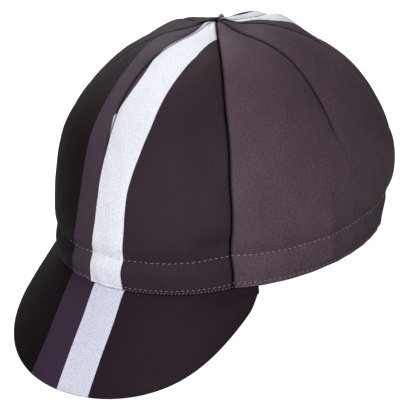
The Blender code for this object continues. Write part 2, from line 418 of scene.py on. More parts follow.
def axis_distance(points):
    lean = POINT_LEAN * (points[..., 2] / CROWN_HEIGHT) ** 3
    return np.hypot(points[..., 0], points[..., 1] - lean)


def dome_normal(around, climb):
    """Outward direction of the plain dome, but level at the rim's cut edge and upright at the point."""
    step = 1e-3
    side_climb = np.minimum(climb, 0.99)
    across = dome(around + step, side_climb) - dome(around - step, side_climb)
    upward = dome(around, np.minimum(climb + step, 1.0)) - dome(around, np.maximum(climb - step, 0.0))
    normal = unit(np.cross(across, upward))
    base = dome(around, climb)
    level = smooth_step(axis_distance(base) / POINT_FLATNESS)
    upright = smooth_step(4 * base[..., 2] / BAND_HEIGHT)
    return unit(normal * np.stack([level, level, upright], axis=-1))


def climb_at_height(height):
    rise = height / (CROWN_HEIGHT - CROWN_POINT_RISE)
    return np.arcsin(rise ** (UPRIGHT_FULLNESS / 2)) * 2 / math.pi


def climb_at_radius(radius):
    reach = radius / (RIM_WIDTH / 2)
    return math.acos(reach ** (LEVEL_FULLNESS / 2)) * 2 / math.pi


def turned(plain, turn, height):
    """The angle of a seam or dart at a height, once it has turned from its plain angle."""
    return plain + turn.angle * smooth_step((height / CROWN_HEIGHT - turn.start) / turn.run)


def seam_angles(height):
    """The four seams at a height, from the one at the back right round to the back left."""
    back = turned(BACK_SEAM_ANGLE, BACK_SEAM_TURN, height)
    front = FRONT_SEAM_ANGLE + SEAM_WAVER * np.sin(2 * math.pi * height / SEAM_WAVER_LENGTH)
    return (-back, -front, front, back)


def dart_angles(height):
    """The four darts at a height: right, front, left and back, each between the seams beside it."""
    side = turned((FRONT_SEAM_ANGLE + BACK_SEAM_ANGLE) / 2, SIDE_DART_TURN, height)
    return (-side, turned(0.0, FRONT_DART_TURN, height), side, math.pi)


def valley(away, spread, radius):
    """Cross-section of a sewn line's valley, which narrows where the lines close in on the point."""
    return np.exp(-away / np.minimum(spread, 0.28 * radius + 1e-6))


def rolled(away, radius):
    """How far a folded edge has rolled in, as a quarter circle that starts this far from the fold."""
    share = np.clip(1 - away / radius, 0.0, 1.0)
    return radius * (1 - np.sqrt(1 - share**2))


def crown_depth(around, base):
    """How far the main forms of the sewn crown lie below the plain dome."""
    height = base[..., 2]
    radius = axis_distance(base)
    depth = CINCH_DEPTH * hump(height, BAND_HEIGHT, CINCH_SPREAD)
    for seam, pinch in zip(seam_angles(height), (BACK_PINCH, FRONT_PINCH, FRONT_PINCH, BACK_PINCH)):
        away = angle_between(around, seam) * radius
        depth += SEAM_DEPTH * valley(away, SEAM_SPREAD, radius)
        depth += pinch.depth * hump(height, pinch.height, pinch.rise) * hump(away, 0.0, PINCH_SPREAD)
    share = smooth_step((height - DART_END_HEIGHT) / DART_RUN_OUT)
    for dart in dart_angles(height):
        away = angle_between(around, dart) * radius
        depth += DART_DEPTH * share * valley(away, DART_SPREAD, radius)
    for settles, place in ((SIDE_SETTLES, height / CROWN_HEIGHT), (TOP_SETTLES, radius / (RIM_WIDTH / 2))):
        for settle in settles:
            angle, spread = math.radians(settle.angle), math.radians(settle.angle_spread)
            near = hump(angle_between(around, angle), 0.0, spread)
            depth += CROWN_HEIGHT * settle.depth * near * hump(place, settle.place, settle.spread)
    depth += DIP_DEPTH * hump(radius, DIP_RADIUS, DIP_SPREAD)
    backward = (1 - np.cos(around)) / 2
    start = PUFF_START_FRONT + (PUFF_START_BACK - PUFF_START_FRONT) * backward
    puff = PUFF * smooth_step((height - start) / PUFF_RUN)
    puff = puff + RING_PUFF * hump(radius, RING_RADIUS, RING_SPREAD)
    return smooth_step(radius / PUCKER_RADIUS) * (depth - puff)


def fold_depth(around, base, stitch_pitch):
    """How far folded edges, creases, stitches and small wrinkles lie below the main forms."""
    height = base[..., 2]
    radius = axis_distance(base)
    along = around * radius
    depth = rolled(height, RIM_ROLL)
    for seam in seam_angles(height):
        depth += rolled(angle_between(around, seam) * radius, SEAM_ROLL)
    share = smooth_step((height - DART_END_HEIGHT - DART_FOLD_START) / DART_FOLD_RUN)
    for dart in dart_angles(height):
        depth += share * rolled(angle_between(around, dart) * radius, DART_ROLL)
    for row, strength in ((BAND_HEIGHT, UPPER_ROW_PULL), (LOWER_ROW_HEIGHT, LOWER_ROW_PULL)):
        pull = 0.6 + 0.4 * np.cos(2 * math.pi * along / stitch_pitch)
        depth += strength * pull * hump(height, row, ROW_PULL_SPREAD)
        wave = wander(along, height * 0.15, ROW_PUCKER_SIZE, 3)
        depth += ROW_PUCKER_DEPTH * wave * hump(height, row, ROW_PUCKER_SPREAD)
    side_fold = np.exp(-angle_between(around, SIDE_FOLD_ANGLE) * radius / SIDE_FOLD_SPREAD)
    fade = smooth_step(height / 0.006)
    depth -= SIDE_FOLD_RISE * side_fold * fade * smooth_step((SIDE_FOLD_TOP - height) / 0.02)
    depth += BROAD_WRINKLE_DEPTH * wander(along, height, BROAD_WRINKLE_SIZE, 11) * smooth_step(height / 0.02)
    depth += FINE_WRINKLE_DEPTH * wander(along * 1.6, height, FINE_WRINKLE_SIZE, 12)
    gather = hump(radius, GATHER_RADIUS, GATHER_SPREAD)
    depth += GATHER_DEPTH * gather * np.sin(around * GATHER_COUNT + 2 * np.sin(3 * around))
    tuft_x, tuft_y = (hump(base[..., axis], TUFT_PLACE[axis], TUFT_SPREAD[axis]) for axis in (0, 1))
    tuft = tuft_x * tuft_y
    depth -= TUFT_RISE * tuft * smooth_step((height - 0.1) / 0.01)
    return depth


def painted_seam_shade(around, base):
    """Painted shade: how much darker the cloth is painted at its seams and darts, where little light gets
    in.
    """
    height = base[..., 2]
    radius = axis_distance(base)
    shade = 0.0 * height
    for seam in seam_angles(height):
        shade = np.maximum(shade, hump(angle_between(around, seam) * radius, 0.0, PAINTED_SHADE_SPREAD))
    share = smooth_step((height - DART_END_HEIGHT) / PAINTED_SHADE_RUN_OUT)
    for dart in dart_angles(height):
        shade = np.maximum(shade, share * hump(angle_between(around, dart) * radius, 0.0, PAINTED_SHADE_SPREAD))
    return PAINTED_SEAM_SHADE * shade


def crown_surface(around, climb, inset, stitch_pitch=None):
    """Points on the sewn crown, inset below its outer face, with its folds if a stitch pitch is given."""
    base = dome(around, climb)
    depth = crown_depth(around, base) + inset
    if stitch_pitch:
        depth = depth + fold_depth(around, base, stitch_pitch)
    return base - dome_normal(around, climb) * depth[..., None]


def peak_length(around):
    side = np.abs(around / PEAK_HALF_ANGLE)
    shoulder = np.maximum(1 - side**PEAK_SHOULDER, 0.0) ** (1 / PEAK_CORNER)
    return PEAK_END_DEPTH + (PEAK_DEPTH - PEAK_END_DEPTH) * shoulder


def peak_surface(around, outward):
    """The peak's upper face: around as on the rim, outward 0 at the rim and 1 at the peak's edge."""
    side = np.abs(around / PEAK_HALF_ANGLE)
    length = peak_length(around)
    drop = PEAK_MIDDLE_DROP + (PEAK_END_DROP - PEAK_MIDDLE_DROP) * side**2 + PEAK_DROOP * (outward - 1)
    heading = (PEAK_SPLAY + PEAK_END_TURN * side**2) * around
    run = outward * length * np.cos(drop)
    root = crown_surface(around, 0.0 * around, 0.0)
    plain = dome(around, 0.0 * around)
    root = root + (plain - root) * smooth_step(outward / PEAK_ROOT_FADE)[..., None]
    x = root[..., 0] + run * np.sin(heading)
    y = root[..., 1] - run * np.cos(heading)
    z = -PIECE_GAP - outward * length * np.sin(drop)
    return np.stack([x, y, z], axis=-1)


def peak_inward(around, outward):
    """Direction from the peak's upper face into its cloth. At the rim it is level."""
    step = 1e-3
    across = peak_surface(around + step, outward) - peak_surface(around - step, outward)
    along = peak_surface(around, outward + step) - peak_surface(around, np.maximum(outward - step, 0.0))
    inward = unit(np.cross(across, along))
    inward = np.where(inward[..., 2:] > 0, -inward, inward)
    level = np.stack([-np.sin(around), np.cos(around), 0.0 * around], axis=-1)
    share = smooth_step(outward / 0.15)[..., None]
    return unit(level * (1 - share) + inward * share)


def gathered(share, strength):
    """Spreads columns so that they lie closer at both edges and along the middle."""
    return share - strength * np.sin(4 * math.pi * share) / (4 * math.pi)


def panel_climb(up):
    """Rows of a panel: close ones within the band, then wider ones up to the crown's point."""
    band_share = BAND_ROWS / (BAND_ROWS + CROWN_ROWS)
    low_height = 1.35 * BAND_HEIGHT
    within = np.clip(up / band_share, 0.0, 1.0)
    low = climb_at_height(low_height * (0.35 * within**2 + 0.65 * within))
    above = np.clip((up - band_share) / (1 - band_share), 0.0, 1.0)
    start = climb_at_height(low_height)
    high = start + (climb_at_radius(TIP_RADIUS) - start) * above
    return np.where(up <= band_share, low, high)


def cloth_grid(columns, rows):
    """A flat grid of cloth extruded into a wall, as a bmesh, with its across, up and depth shares."""
    mesh = bmesh.new()
    bmesh.ops.create_grid(mesh, x_segments=columns, y_segments=rows, size=0.5)
    extruded = bmesh.ops.extrude_face_region(mesh, geom=mesh.faces[:])
    inner = [item for item in extruded["geom"] if isinstance(item, bmesh.types.BMVert)]
    bmesh.ops.translate(mesh, vec=(0, 0, -1), verts=inner)
    flat = np.array([vertex.co for vertex in mesh.verts])
    return mesh, flat[:, 0] + 0.5, flat[:, 1] + 0.5, -flat[:, 2]


def cap_place():
    """The placing of the cap's own frame on the table, from the mount at the middle of its rim."""
    mounts = {mount["name"]: mount for mount in frame["record"]["mounts"]}
    opening = mounts["head_opening"]
    axis = Vector(opening["axis"])
    pitch = math.atan2(-axis.y, -axis.z)
    return Matrix.Translation(Vector(opening["pos_m"])) @ Matrix.Rotation(-pitch, 4, "X")


def rested(points):
    """Placed points, with the cloth pressed flat where it rests on the table."""
    place = np.array(cap_place())
    settled = points @ place[:3, :3].T + place[:3, 3]
    settled[..., 2] = np.maximum(settled[..., 2], 0.0)
    return settled


def new_object(name, mesh, material):
    """An object at the origin, in the scene, from a bmesh that is then freed."""
    data = bpy.data.meshes.new(name)
    mesh.to_mesh(data)
    mesh.free()
    data.materials.append(material)
    made = bpy.data.objects.new(name, data)
    bpy.context.scene.collection.objects.link(made)
    return made


def finish_cloth(name, mesh, points, material):
    """Turns a wrapped grid into a finished object at the origin."""
    for vertex, point in zip(mesh.verts, rested(points)):
        vertex.co = point
    bmesh.ops.recalc_face_normals(mesh, faces=mesh.faces[:])
    piece = new_object(name, mesh, material)
    piece.data.shade_smooth()
    piece.data.set_sharp_from_angle(angle=SHARP_ANGLE)
    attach(piece, "root")
    return piece


def add_point_values(piece, name, values):
    attribute = piece.data.attributes.new(name, "FLOAT", "POINT")
    attribute.data.foreach_set("value", np.asarray(values, np.float32))


def whole_numbers(items, field):
    values = np.zeros(len(items), np.int32)
    items.foreach_get(field, values)
    return values


def add_cloth_map(piece, map_points):
    """Gives the piece the UV map "cloth", in metres along and across the grain."""
    corners = whole_numbers(piece.data.loops, "vertex_index")
    layer = piece.data.uv_layers.new(name="cloth")
    layer.data.foreach_set("uv", map_points(corners).astype(np.float32).ravel())


def corner_sides(data, share):
    """For every face corner, on which side of the middle its face lies: -1 or 1."""
    corners = whole_numbers(data.loops, "vertex_index")
    totals = whole_numbers(data.polygons, "loop_total")
    starts = np.concatenate([[0], np.cumsum(totals)[:-1]])
    middles = np.add.reduceat(share[corners], starts) / totals
    return np.repeat(np.where(middles < 0.5, -1.0, 1.0), totals)


def stripe_position(x, purple_edge, middle, white_edge):
    """Where a point lies across the stripes: -1 to 0 is purple and 0 to 1 is white."""
    left = (x - middle) / (middle - purple_edge)
    right = (x - middle) / (white_edge - middle)
    return np.where(x < middle, left, right)


def crown_stripe(around, climb, points):
    """Stripe positions on the front and back of the crown."""
    base = dome(around, climb)
    height = base[..., 2]
    kink = MIDDLE_EDGE[-1][0]
    lower = curve_through(MIDDLE_EDGE, height)
    middle = np.where(height < kink, lower, curve_through(UPPER_MIDDLE_EDGE, height))
    purple = curve_through(PURPLE_EDGE, height)
    inward = np.maximum(NARROWING_RADIUS - axis_distance(base), 0.0)
    white = curve_through(WHITE_EDGE, height) - WHITE_NARROWING * inward
    front = stripe_position(points[..., 0], purple, middle, white)
    behind = np.maximum(points[..., 1], 0.0)
    edges = (curve_through(edge, behind) for edge in (BACK_PURPLE_EDGE, BACK_MIDDLE_EDGE, BACK_WHITE_EDGE))
    back = stripe_position(points[..., 0], *edges)
    return np.where(np.cos(around) > 0, front, back)


def crown_cloth(name, place, material, settings):
    """A panel by its place in the order of the seams and darts. Its middle column follows its dart."""
    mesh, across, up, depth = cloth_grid(PANEL_COLUMNS, BAND_ROWS + CROWN_ROWS)
    climb = panel_climb(up)
    height = dome(0.0 * climb, climb)[..., 2]
    seams = seam_angles(height)
    first, last = (*seams, 2 * math.pi + seams[0])[place : place + 2]
    first = first + SEAM_GAP / 2 / axis_distance(dome(first, climb))
    last = last - SEAM_GAP / 2 / axis_distance(dome(last, climb))
    middle = dart_angles(height)[place] + 0 * height
    share = 2 * gathered(across, PANEL_GATHER)
    before = first + (middle - first) * share
    after = middle + (last - middle) * (share - 1)
    around = np.where(share < 1, before, after)
    points = crown_surface(around, climb, depth * CROWN_CLOTH, settings.stitch_pitch)
    piece = finish_cloth(name + "_cloth", mesh, points, material)
    add_point_values(piece, "stripe", crown_stripe(around, climb, points))
    # Painted shade at the seams and darts, which the material takes off the cloth's colour
    add_point_values(piece, "painted_shade", painted_seam_shade(around, dome(around, climb)))
    sides = corner_sides(piece.data, across)
    rim_radius = (RIM_LENGTH + RIM_WIDTH) / 4
    radius = axis_distance(dome(around, climb))

    def map_points(corners):
        half = (middle[corners] + np.where(sides < 0, first[corners], last[corners])) / 2
        u = (half - middle[corners]) * rim_radius + (around[corners] - half) * radius[corners]
        return np.stack([u, PANEL_LENGTH * climb[corners]], axis=-1)

    add_cloth_map(piece, map_points)
    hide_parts(name)
    return piece


def sweatband_cloth(material, settings):
    """The strip inside the rim, with its ribs and the join at the back."""
    mesh, across, up, depth = cloth_grid(SWEATBAND_COLUMNS, SWEATBAND_ROWS)
    end_angle = math.pi - PIECE_GAP / (RIM_LENGTH - 2 * CROWN_CLOTH - 4 * BAND_CLOTH)
    around = end_angle * (2 * across - 1)
    height = SWEATBAND_LIFT + (BAND_HEIGHT - SWEATBAND_LIFT) * up
    climb = climb_at_height(height)
    edge = np.minimum(height, BAND_HEIGHT - height)
    roll = SWEATBAND_ROLL_SHARE * rolled(edge, SWEATBAND_ROLL)
    hollow = SWEATBAND_HOLLOW * hump(height, 0.5 * BAND_HEIGHT, SWEATBAND_HOLLOW_SPREAD)
    inset = CROWN_CLOTH + PIECE_GAP + depth * BAND_CLOTH - depth * (roll - hollow)
    points = crown_surface(around, climb, inset, settings.stitch_pitch)
    piece = finish_cloth("sweatband_cloth", mesh, points, material)
    length = math.pi * (RIM_LENGTH + RIM_WIDTH) / 2

    def map_points(corners):
        return np.stack([across[corners] * length, height[corners]], axis=-1)

    add_cloth_map(piece, map_points)
    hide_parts("sweatband")
    return piece


def peak_cloth(name, upper_inset, material):
    """One layer of the peak, with its turned and piped edge."""
    mesh, across, up, depth = cloth_grid(PEAK_COLUMNS, PEAK_ROWS)
    around = PEAK_HALF_ANGLE * (2 * across - 1)
    outward = up - PEAK_ROW_GATHER * np.sin(2 * math.pi * up) / (2 * math.pi)
    from_side = (1 - np.abs(2 * across - 1)) * PEAK_SIDE_LENGTH
    edge = np.minimum((1 - outward) * peak_length(around), from_side)
    total = 2 * PEAK_CLOTH + PIECE_GAP
    middle = total / 2
    inset = upper_inset + depth * PEAK_CLOTH
    thin = rolled(edge, PEAK_PIPING) / PEAK_PIPING
    inset = middle + (inset - middle) * (1 - PEAK_PIPING_THINNING * thin)
    ridge = PEAK_RIDGE * hump(edge, PEAK_RIDGE_PLACE, PEAK_LINE_SPREAD)
    swell = ridge - PEAK_GROOVE * hump(edge, PEAK_GROOVE_PLACE, PEAK_LINE_SPREAD)
    along = around * RIM_LENGTH / 2
    wave = PEAK_WAVE * wander(along, outward * PEAK_DEPTH, PEAK_WAVE_SIZE, 21) * smooth_step(outward * 3)
    dip = PEAK_ROOT_DIP * hump(outward * PEAK_DEPTH, 0.0, PEAK_ROOT_DIP_SPREAD)
    inset = inset + np.where(inset < middle, swell + dip, -swell) + wave
    points = peak_surface(around, outward) + peak_inward(around, outward) * inset[..., None]
    piece = finish_cloth(name + "_cloth", mesh, points, material)
    purple = curve_through(PEAK_PURPLE_EDGE, outward)
    seam = curve_through(PEAK_MIDDLE_EDGE, outward)
    white = curve_through(PEAK_WHITE_EDGE, outward)
    add_point_values(piece, "stripe", stripe_position(points[:, 0], purple, seam, white))

    def map_points(corners):
        return np.stack([points[corners, 0], outward[corners] * PEAK_DEPTH], axis=-1)

    add_cloth_map(piece, map_points)
    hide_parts(name)
    return piece


def stitch_row(name, row, reach, material, settings):
    """A row of thread dashes along the band, each one a small stretched bead."""
    length, width = settings.stitch_length * row.length, settings.thread_width * row.width
    arounds = even_arounds(row.height, settings.stitch_pitch * row.pitch, reach)
    climb = climb_at_height(np.full(len(arounds), row.height))
    here = crown_surface(arounds, climb, 0.0, settings.stitch_pitch)
    ahead = crown_surface(arounds + STITCH_STEP_ANGLE, climb, 0.0, settings.stitch_pitch)
    out = dome_normal(arounds, climb)
    stripes = crown_stripe(arounds, climb, here)
    chance = np.random.default_rng(5)
    mesh = bmesh.new()
    values = []
    place = cap_place()
    for spot, nearby, outward, stripe in zip(here, ahead, out, stripes):
        along = Vector(nearby - spot).normalized()
        normal = Vector(outward)
        tilt = row.lean + chance.uniform(-STITCH_LEAN_SPREAD, STITCH_LEAN_SPREAD)
        along = Matrix.Rotation(tilt, 3, normal) @ along
        across = normal.cross(along).normalized()
        stretch = length * chance.uniform(*STITCH_STRETCH)
        axes = Matrix((along * stretch, across * width, normal * width)).transposed().to_4x4()
        centre = Vector(spot) + normal * (STITCH_RISE * width)
        shape = place @ Matrix.Translation(centre) @ axes @ Matrix.Rotation(math.pi / 2, 4, "Y")
        made = bmesh.ops.create_uvsphere(
            mesh, u_segments=STITCH_SEGMENTS, v_segments=STITCH_RINGS, radius=0.5, matrix=shape
        )
        values += [stripe] * len(made["verts"])
    bmesh.ops.recalc_face_normals(mesh, faces=mesh.faces[:])
    piece = new_object(name, mesh, material)
    piece.data.shade_smooth()
    add_point_values(piece, "stripe", values)
    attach(piece, "root")
    return piece


def even_arounds(height, pitch, reach):
    """Angles that lie a pitch apart along the band at a height, within a reach from the front."""
    fine = np.linspace(-reach, reach, 4001)
    line = crown_surface(fine, climb_at_height(np.full(4001, height)), 0.0)
    length = np.concatenate([[0], np.cumsum(np.linalg.norm(np.diff(line, axis=0), axis=1))])
    count = int(round(length[-1] / pitch))
    return np.interp((np.arange(count) + 0.5) / count * length[-1], length, fine)


def node(tree, kind, **values):
    """Adds a node and sets its properties."""
    made = tree.nodes.new(kind)
    for key, value in values.items():
        setattr(made, key, value)
    return made


def wire(tree, source, target, name):
    tree.links.new(source, target.inputs[name])


def calculate(tree, operation, *values):
    """A Math node on sockets or numbers, as its output."""
    made = node(tree, "ShaderNodeMath", operation=operation)
    for place, value in enumerate(values):
        if isinstance(value, (int, float)):
            made.inputs[place].default_value = value
        else:
            tree.links.new(value, made.inputs[place])
    return made.outputs[0]


def noise(tree, vector, scale, detail, roughness=0.5):
    """A flat noise texture, as its value."""
    made = node(tree, "ShaderNodeTexNoise", noise_dimensions="2D")
    made.inputs["Scale"].default_value = scale
    made.inputs["Detail"].default_value = detail
    made.inputs["Roughness"].default_value = roughness
    wire(tree, vector, made, "Vector")
    return made.outputs["Fac"]


def mix_colours(tree, share, first, second):
    made = node(tree, "ShaderNodeMix", data_type="RGBA")
    tree.links.new(share, made.inputs["Factor"])
    for name, value in (("A", first), ("B", second)):
        socket = next(item for item in made.inputs if item.name == name and item.type == "RGBA")
        tree.links.new(value, socket)
    return next(item for item in made.outputs if item.type == "RGBA")


def new_group(name, inputs, outputs):
    group = bpy.data.node_groups.new(name, "ShaderNodeTree")
    for way, sockets in (("INPUT", inputs), ("OUTPUT", outputs)):
        for label, kind in sockets.items():
            group.interface.new_socket(label, in_out=way, socket_type="NodeSocket" + kind)
    return group, group.nodes.new("NodeGroupInput"), group.nodes.new("NodeGroupOutput")


def knit_group():
    """Wales and courses of a fine knit, with uneven yarn: a height, and a shade of painted rib shade and
    yarn tone.
    """
    if "Knit" in bpy.data.node_groups:
        return bpy.data.node_groups["Knit"]
    group, given, result = new_group(
        "Knit",
        {"Cloth": "Vector", "Wale": "Float", "Course": "Float", "Contrast": "Float"},
        {"Height": "Float", "Shade": "Float"},
    )
    split = node(group, "ShaderNodeSeparateXYZ")
    wire(group, given.outputs["Cloth"], split, "Vector")
    waver = noise(group, given.outputs["Cloth"], WAVER_SCALE, 2.0)
    drift = calculate(group, "MULTIPLY", waver, WAVER_REACH)
    u = calculate(group, "ADD", split.outputs["X"], drift)
    wale_way = calculate(group, "MULTIPLY", u, 2 * math.pi)
    wale_turn = calculate(group, "DIVIDE", wale_way, given.outputs["Wale"])
    course_way = calculate(group, "MULTIPLY", split.outputs["Y"], 2 * math.pi)
    course_turn = calculate(group, "DIVIDE", course_way, given.outputs["Course"])
    wale = calculate(group, "MULTIPLY_ADD", calculate(group, "SINE", wale_turn), 0.5, 0.5)
    course = calculate(group, "MULTIPLY_ADD", calculate(group, "SINE", course_turn), 0.5, 0.5)
    ribs = calculate(group, "MULTIPLY", wale, RIB_SHARE)
    loops = calculate(group, "MULTIPLY_ADD", course, 1 - RIB_SHARE, ribs)
    patch = noise(group, given.outputs["Cloth"], PATCH_SCALE, 5.0, 0.65)
    fleck = noise(group, given.outputs["Cloth"], FLECK_SCALE, 2.0)
    middle = (FLECK_STRENGTH + 1) / 2
    strong_fleck = calculate(group, "MULTIPLY_ADD", fleck, FLECK_STRENGTH, -middle)
    level = calculate(group, "ADD", patch, strong_fleck)
    # Painted shade along the ribs and courses, plus the yarn's uneven tone in patches and flecks
    shade = calculate(group, "ADD", calculate(group, "SUBTRACT", loops, 0.5), level)
    lifted = calculate(group, "MULTIPLY_ADD", shade, given.outputs["Contrast"], 1.0)
    wire(group, lifted, result, "Shade")
    wire(group, calculate(group, "ADD", loops, calculate(group, "MULTIPLY", level, 0.5)), result, "Height")
    return group


def stripes_group():
    """The colour of a stripe from the position across the stripes."""
    if "Stripes" in bpy.data.node_groups:
        return bpy.data.node_groups["Stripes"]
    group, given, result = new_group(
        "Stripes",
        {"Position": "Float", "Outer": "Color", "Purple": "Color", "White": "Color", "Main": "Color"},
        {"Color": "Color"},
    )
    colour = given.outputs["Outer"]
    for edge, name in ((-1.0, "Purple"), (0.0, "White"), (1.0, "Main")):
        past = calculate(group, "SUBTRACT", given.outputs["Position"], edge)
        soft = calculate(group, "MULTIPLY_ADD", past, STRIPE_SHARPNESS, 0.5)
        soft.node.use_clamp = True
        colour = mix_colours(group, soft, colour, given.outputs[name])
    wire(group, colour, result, "Color")
    return group


def place_group(tree, group, **values):
    made = node(tree, "ShaderNodeGroup", node_tree=group)
    for name, value in values.items():
        made.inputs[name].default_value = value
    return made


def stripe_colour(tree, *colours):
    """The colour at a point's place across the stripes, from black, purple, white and the main colour."""
    position = node(tree, "ShaderNodeAttribute", attribute_name="stripe")
    named = zip(("Outer", "Purple", "White", "Main"), colours)
    stripes = place_group(tree, stripes_group(), **{name: (*colour, 1.0) for name, colour in named})
    wire(tree, position.outputs["Fac"], stripes, "Position")
    return stripes.outputs["Color"]


def new_material(name, bump_depth):
    """A cloth material with a bump, ready for its colour and height."""
    material = bpy.data.materials.new(name)
    material.use_nodes = True
    tree = material.node_tree
    shader = tree.nodes["Principled BSDF"]
    shader.inputs["Roughness"].default_value = CLOTH_ROUGHNESS
    shader.inputs["Specular IOR Level"].default_value = CLOTH_SPECULAR
    bump = node(tree, "ShaderNodeBump")
    bump.inputs["Distance"].default_value = bump_depth
    bump.inputs["Strength"].default_value = 1.0
    wire(tree, bump.outputs["Normal"], shader, "Normal")
    return material, tree, shader, bump


def knit_material(name, settings, main, stripes=(), wale=None, contrast=0.2):
    """Knitted cloth in its main colour. Where stripes are given, they are black, purple and white."""
    material, tree, shader, bump = new_material(name, KNIT_BUMP)
    cloth = node(tree, "ShaderNodeUVMap", uv_map="cloth")
    rib = wale or settings.wale
    knit = place_group(tree, knit_group(), Wale=rib, Course=settings.course, Contrast=contrast)
    wire(tree, cloth.outputs["UV"], knit, "Cloth")
    wire(tree, knit.outputs["Height"], bump, "Height")
    shaded = node(tree, "ShaderNodeVectorMath", operation="SCALE")
    shaded.inputs[0].default_value = main
    if stripes:
        tree.links.new(stripe_colour(tree, *stripes, main), shaded.inputs[0])
    # Painted shade at the seams and darts darkens the cloth's colour
    painted_shade = node(tree, "ShaderNodeAttribute", attribute_name="painted_shade")
    clear = calculate(tree, "SUBTRACT", 1.0, painted_shade.outputs["Fac"])
    wire(tree, calculate(tree, "MULTIPLY", clear, knit.outputs["Shade"]), shaded, "Scale")
    wire(tree, shaded.outputs[0], shader, "Base Color")
    return material


def thread_material(settings):
    """Twisted thread, pale where it crosses the white stripe and darkened with painted shade where it
    crosses the black cloth.
    """
    material, tree, shader, bump = new_material("thread", THREAD_BUMP)
    # Painted shade: the thread is darker where it crosses the black cloth
    dark = [THREAD_PAINTED_SHADE_ON_BLACK * part for part in settings.thread]
    pale = [THREAD_ON_WHITE * part for part in settings.white]
    wire(tree, stripe_colour(tree, dark, settings.thread, pale, settings.thread), shader, "Base Color")
    where = node(tree, "ShaderNodeTexCoord")
    twist = node(tree, "ShaderNodeTexWave", bands_direction="DIAGONAL")
    twist.inputs["Scale"].default_value = THREAD_TWIST
    wire(tree, where.outputs["Object"], twist, "Vector")
    wire(tree, twist.outputs["Fac"], bump, "Height")
    return material


class CapClothSettings(bpy.types.PropertyGroup):
    charcoal: FloatVectorProperty(
        name="Charcoal", description="Main cloth", default=(0.057, 0.0383, 0.0507), subtype="COLOR"
    )
    dark_charcoal: FloatVectorProperty(
        name="Dark charcoal", description="Front panel", default=(0.0222, 0.0138, 0.0192), subtype="COLOR"
    )
    black: FloatVectorProperty(
        name="Black", description="Beyond the stripes", default=(0.0080, 0.0041, 0.0059), subtype="COLOR"
    )
    purple: FloatVectorProperty(
        name="Purple", description="Dark stripe", default=(0.0420, 0.0285, 0.0400), subtype="COLOR"
    )
    white: FloatVectorProperty(
        name="White", description="Pale stripe", default=(0.565, 0.575, 0.625), subtype="COLOR"
    )
    peak_charcoal: FloatVectorProperty(
        name="Peak charcoal", description="On the peak", default=(0.0132, 0.0071, 0.0120), subtype="COLOR"
    )
    peak_black: FloatVectorProperty(
        name="Peak black", description="On the peak", default=(0.0040, 0.0017, 0.0028), subtype="COLOR"
    )
    peak_purple: FloatVectorProperty(
        name="Peak purple", description="On the peak", default=(0.0290, 0.0170, 0.0315), subtype="COLOR"
    )
    peak_white: FloatVectorProperty(
        name="Peak white", description="On the peak", default=(0.465, 0.477, 0.56), subtype="COLOR"
    )
    thread: FloatVectorProperty(
        name="Thread", description="Sewing thread", default=(0.20, 0.155, 0.18), subtype="COLOR"
    )
    wale: FloatProperty(
        name="Wale", description="Width of one rib of the knit", default=0.00105, unit="LENGTH"
    )
    course: FloatProperty(
        name="Course", description="Height of one row of the knit", default=0.0008, unit="LENGTH"
    )
    stitch_pitch: FloatProperty(
        name="Stitch pitch", description="From one stitch to the next", default=0.0030, unit="LENGTH"
    )
    stitch_length: FloatProperty(
        name="Stitch length", description="Visible thread", default=0.0016, unit="LENGTH"
    )
    thread_width: FloatProperty(
        name="Thread width", description="Across a stitch", default=0.00050, unit="LENGTH"
    )


class CapStageSettings(bpy.types.PropertyGroup):
    lens: FloatProperty(
        name="Lens", description="Focal length in millimetres", default=214.76, min=1, unit="CAMERA"
    )
    distance: FloatProperty(
        name="Distance", description="Camera to the rim's middle", default=1.3, min=0.1, unit="LENGTH"
    )
    key_power: FloatProperty(
        name="Key light", description="Power in watts", default=25.5, min=0, unit="POWER"
    )
    high_power: FloatProperty(
        name="High light", description="Power in watts", default=12.5, min=0, unit="POWER"
    )
    back_power: FloatProperty(
        name="Back light", description="Power in watts", default=33.0, min=0, unit="POWER"
    )
    world_strength: FloatProperty(
        name="Ambient", description="Strength of the even light", default=0.11, min=0, subtype="FACTOR"
    )
    floor_side: FloatProperty(
        name="Floor", description="Side of the floor", default=6.0, min=0.1, unit="LENGTH"
    )


class CAP_OT_crown(bpy.types.Operator):
    """Build the crown's four panels of cloth."""

    bl_idname = "cap.crown"
    bl_label = "Crown panels"

    def execute(self, context):
        settings = context.scene.cap_cloth
        stripes = (settings.black, settings.purple, settings.white)
        front = knit_material("front_cloth", settings, settings.dark_charcoal, stripes)
        back = knit_material("back_cloth", settings, settings.charcoal, stripes)
        left = knit_material("left_cloth", settings, settings.charcoal, contrast=0.4)
        right = knit_material("right_cloth", settings, settings.dark_charcoal)
        panels = (
            ("front_panel", 1, front, (0.165, 0.160), 0.0172),
            ("left_panel", 2, left, (0.150, 0.160), 0.0162),
            ("right_panel", 0, right, (0.150, 0.160), 0.0162),
            ("back_panel", 3, back, (0.140, 0.155), 0.0142),
        )
        for name, place, material, flat, area in panels:
            piece = crown_cloth(name, place, material, settings)
        return {"FINISHED"}


class CAP_OT_sweatband(bpy.types.Operator):
    """Build the sweatband inside the rim."""

    bl_idname = "cap.sweatband"
    bl_label = "Sweatband"

    def execute(self, context):
        settings = context.scene.cap_cloth
        colour = [SWEATBAND_SHADE * part for part in settings.charcoal]
        material = knit_material("band_cloth", settings, colour, wale=SWEATBAND_WALE, contrast=0.3)
        sweatband_cloth(material, settings)
        return {"FINISHED"}


class CAP_OT_peak(bpy.types.Operator):
    """Build the two layers of the peak."""

    bl_idname = "cap.peak"
    bl_label = "Peak"

    def execute(self, context):
        settings = context.scene.cap_cloth
        stripes = (settings.peak_black, settings.peak_purple, settings.peak_white)
        striped = knit_material("peak_cloth", settings, settings.peak_charcoal, stripes)
        under = knit_material("underside_cloth", settings, settings.peak_black)
        peak_cloth("peak_top", 0.0, striped)
        peak_cloth("peak_underside", PEAK_CLOTH + PIECE_GAP, under)
        return {"FINISHED"}


